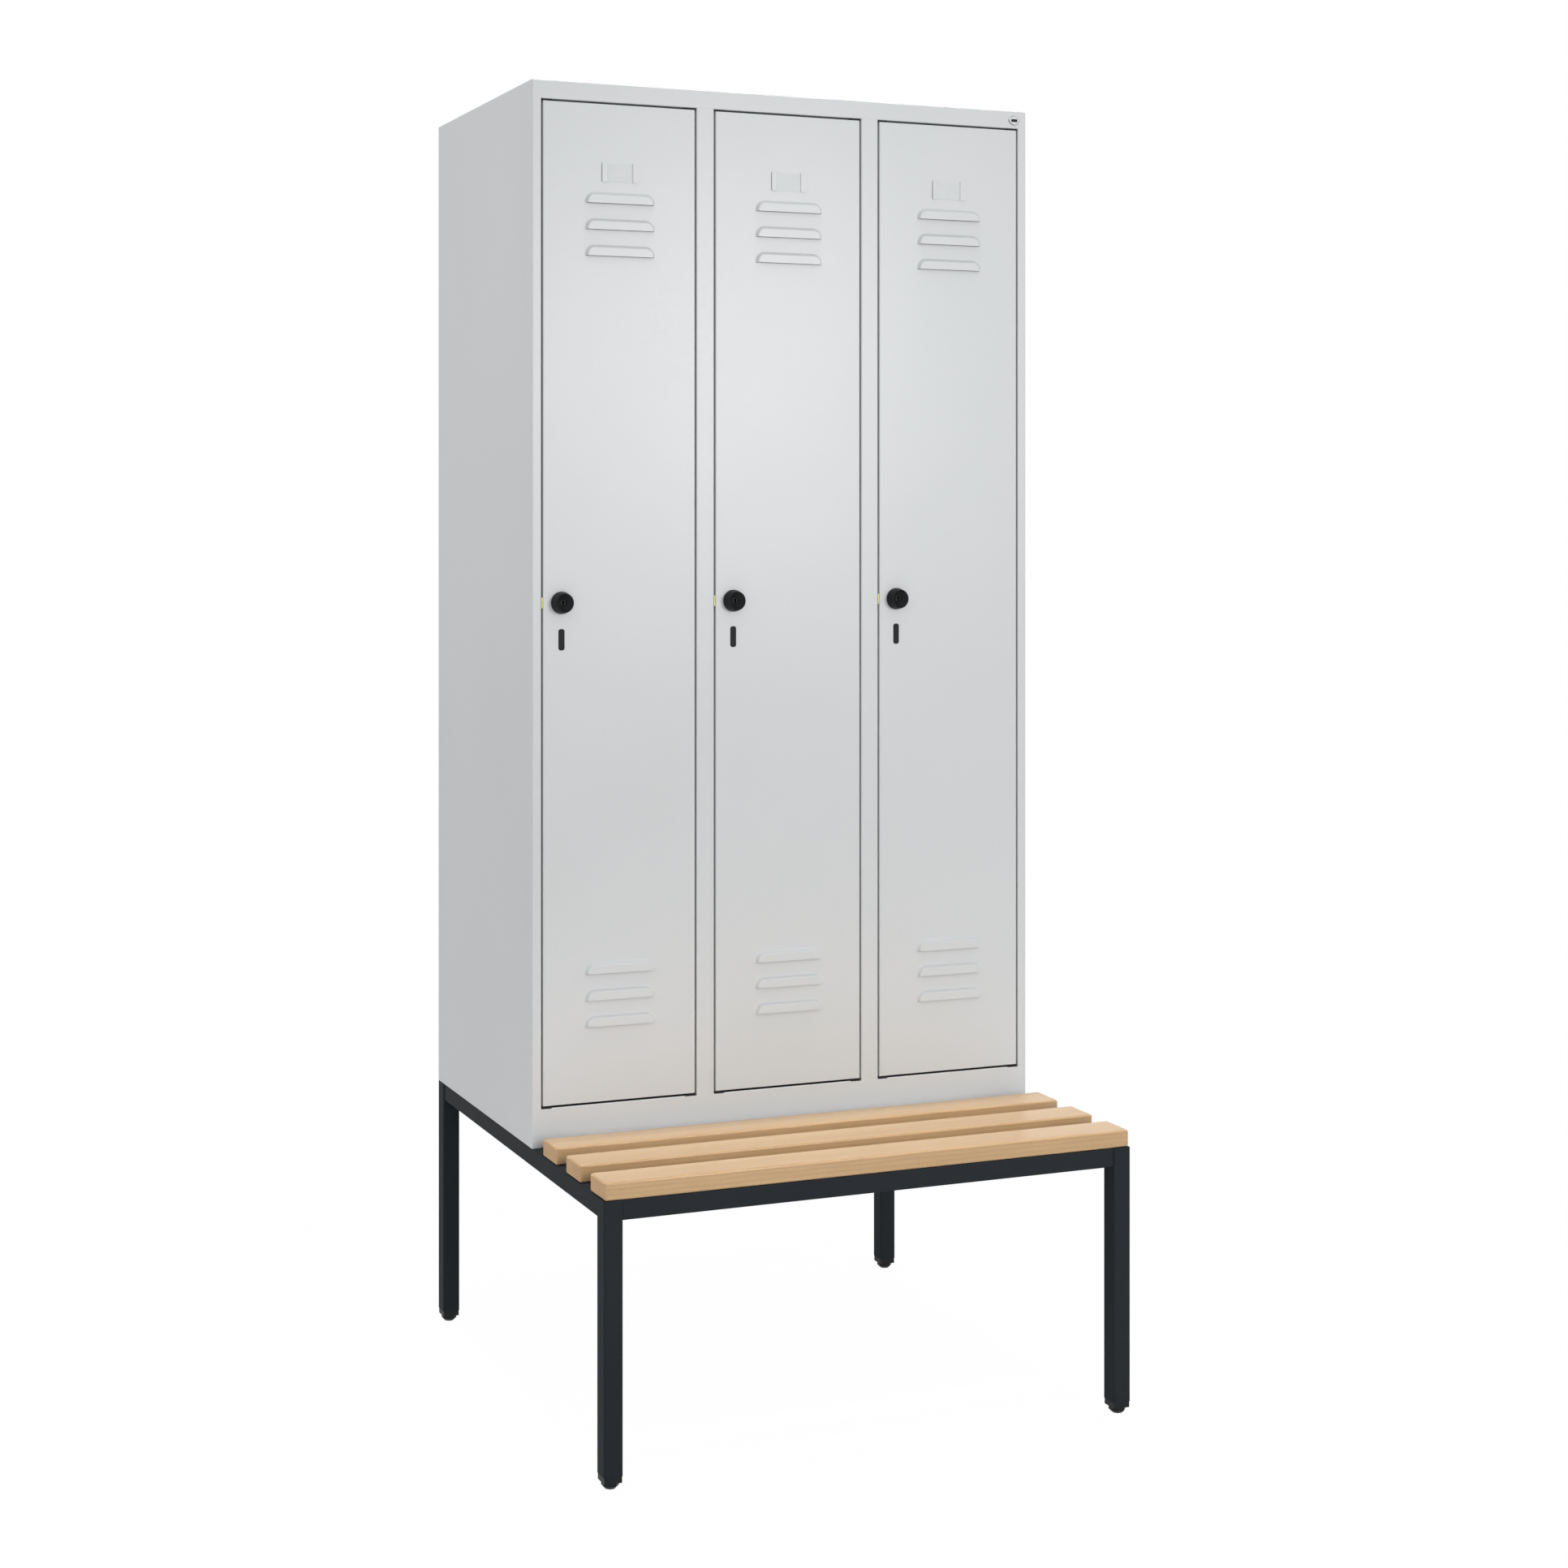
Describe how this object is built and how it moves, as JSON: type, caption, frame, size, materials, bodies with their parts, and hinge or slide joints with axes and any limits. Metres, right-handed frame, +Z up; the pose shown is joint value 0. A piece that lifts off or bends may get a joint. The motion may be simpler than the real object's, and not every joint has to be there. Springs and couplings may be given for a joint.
{
  "type": "locker with bench",
  "caption": "Folded sheet steel clothes locker with tall vented doors and turning knob locks, standing on a square tube frame that carries a slatted wooden bench in front.",
  "frame": {"origin": "on the floor, under the middle of the bench frame", "axes": "+X to the right seen from the front, +Y towards the back, +Z up; the doors and the bench face -Y"},
  "size_m": [0.9, 0.815, 2.125],
  "materials": {
    "light_grey_powder_coat": "satin powder coat",
    "black_grey_powder_coat": "satin powder coat",
    "black_plastic": "matt",
    "yellow_zinc": "yellow zinc plated",
    "bright_zinc": "bright zinc plated",
    "lacquered_beech": "clear lacquered beech"
  },
  "bodies": {
    "root": {"side_wall_left": "light_grey_powder_coat", "side_wall_right": "light_grey_powder_coat", "back_wall": "light_grey_powder_coat", "top_panel": "light_grey_powder_coat", "floor_panel": "light_grey_powder_coat", "partition_left": "light_grey_powder_coat", "partition_right": "light_grey_powder_coat", "hat_shelf_left": "light_grey_powder_coat", "hat_shelf_middle": "light_grey_powder_coat", "hat_shelf_right": "light_grey_powder_coat", "clothes_rail_left": "bright_zinc", "clothes_rail_middle": "bright_zinc", "clothes_rail_right": "bright_zinc", "hinge_block_bottom_left": "black_plastic", "hinge_block_bottom_middle": "black_plastic", "hinge_block_bottom_right": "black_plastic", "hinge_block_top_left": "black_plastic", "hinge_block_top_middle": "black_plastic", "hinge_block_top_right": "black_plastic", "corner_buffer_bottom_left": "black_plastic", "corner_buffer_bottom_middle": "black_plastic", "corner_buffer_bottom_right": "black_plastic", "corner_buffer_top_left": "black_plastic", "corner_buffer_top_middle": "black_plastic", "corner_buffer_top_right": "black_plastic", "leg_front_left": "black_grey_powder_coat", "leg_front_right": "black_grey_powder_coat", "leg_rear_left": "black_grey_powder_coat", "leg_rear_right": "black_grey_powder_coat", "front_rail": "black_grey_powder_coat", "rear_rail": "black_grey_powder_coat", "side_rail_left": "black_grey_powder_coat", "side_rail_right": "black_grey_powder_coat", "cross_rail": "black_grey_powder_coat", "foot_front_left": "black_plastic", "foot_front_right": "black_plastic", "foot_rear_left": "black_plastic", "foot_rear_right": "black_plastic", "slat_front": "lacquered_beech", "slat_middle": "lacquered_beech", "slat_back": "lacquered_beech", "badge": "black_plastic"},
    "door_left": {"door_panel_left": "light_grey_powder_coat", "lock_case_left": "black_plastic"},
    "door_middle": {"door_panel_middle": "light_grey_powder_coat", "lock_case_middle": "black_plastic"},
    "door_right": {"door_panel_right": "light_grey_powder_coat", "lock_case_right": "black_plastic"},
    "knob_left": {"knob_left": "black_plastic"},
    "knob_middle": {"knob_middle": "black_plastic"},
    "knob_right": {"knob_right": "black_plastic"},
    "bolt_left": {"lock_bolt_left": "yellow_zinc"},
    "bolt_middle": {"lock_bolt_middle": "yellow_zinc"},
    "bolt_right": {"lock_bolt_right": "yellow_zinc"},
    "cylinder_left": {"lock_cylinder_left": "black_plastic"},
    "cylinder_middle": {"lock_cylinder_middle": "black_plastic"},
    "cylinder_right": {"lock_cylinder_right": "black_plastic"},
    "hook_left": {"coat_hook_left": "black_plastic"},
    "hook_middle": {"coat_hook_middle": "black_plastic"},
    "hook_right": {"coat_hook_right": "black_plastic"}
  },
  "joints": [
    {"name": "door_hinge_left", "type": "hinge", "parent": "root", "child": "door_left", "pos_m": [-0.1805, -0.0845, 0.4905], "axis": [0, 0, 1], "range_deg": [0, 110]},
    {"name": "door_hinge_middle", "type": "hinge", "parent": "root", "child": "door_middle", "pos_m": [0.1195, -0.0845, 0.4905], "axis": [0, 0, 1], "range_deg": [0, 110]},
    {"name": "door_hinge_right", "type": "hinge", "parent": "root", "child": "door_right", "pos_m": [0.4195, -0.0845, 0.4905], "axis": [0, 0, 1], "range_deg": [0, 110]},
    {"name": "knob_turn_left", "type": "hinge", "parent": "door_left", "child": "knob_left", "pos_m": [-0.4003, -0.0925, 1.292], "axis": [0, -1, 0], "range_deg": [0, 90]},
    {"name": "knob_turn_middle", "type": "hinge", "parent": "door_middle", "child": "knob_middle", "pos_m": [-0.1003, -0.0925, 1.292], "axis": [0, -1, 0], "range_deg": [0, 90]},
    {"name": "knob_turn_right", "type": "hinge", "parent": "door_right", "child": "knob_right", "pos_m": [0.1997, -0.0925, 1.292], "axis": [0, -1, 0], "range_deg": [0, 90]},
    {"name": "bolt_slide_left", "type": "slide", "parent": "door_left", "child": "bolt_left", "axis": [-1, 0, 0], "range_m": [0, 0.006]},
    {"name": "bolt_slide_middle", "type": "slide", "parent": "door_middle", "child": "bolt_middle", "axis": [-1, 0, 0], "range_m": [0, 0.006]},
    {"name": "bolt_slide_right", "type": "slide", "parent": "door_right", "child": "bolt_right", "axis": [-1, 0, 0], "range_m": [0, 0.006]},
    {"name": "cylinder_turn_left", "type": "hinge", "parent": "knob_left", "child": "cylinder_left", "pos_m": [-0.4003, -0.0925, 1.292], "axis": [0, -1, 0], "range_deg": [0, 90]},
    {"name": "cylinder_turn_middle", "type": "hinge", "parent": "knob_middle", "child": "cylinder_middle", "pos_m": [-0.1003, -0.0925, 1.292], "axis": [0, -1, 0], "range_deg": [0, 90]},
    {"name": "cylinder_turn_right", "type": "hinge", "parent": "knob_right", "child": "cylinder_right", "pos_m": [0.1997, -0.0925, 1.292], "axis": [0, -1, 0], "range_deg": [0, 90]},
    {"name": "hook_slide_left", "type": "slide", "parent": "root", "child": "hook_left", "axis": [1, 0, 0], "range_m": [-0.14, 0.14]},
    {"name": "hook_slide_middle", "type": "slide", "parent": "root", "child": "hook_middle", "axis": [1, 0, 0], "range_m": [-0.14, 0.14]},
    {"name": "hook_slide_right", "type": "slide", "parent": "root", "child": "hook_right", "axis": [1, 0, 0], "range_m": [-0.14, 0.14]}
  ],
  "couplings": [
    {"joint": "bolt_slide_left", "follows": "knob_turn_left", "m_per_rad": 0.003819},
    {"joint": "bolt_slide_middle", "follows": "knob_turn_middle", "m_per_rad": 0.003819},
    {"joint": "bolt_slide_right", "follows": "knob_turn_right", "m_per_rad": 0.003819}
  ]
}
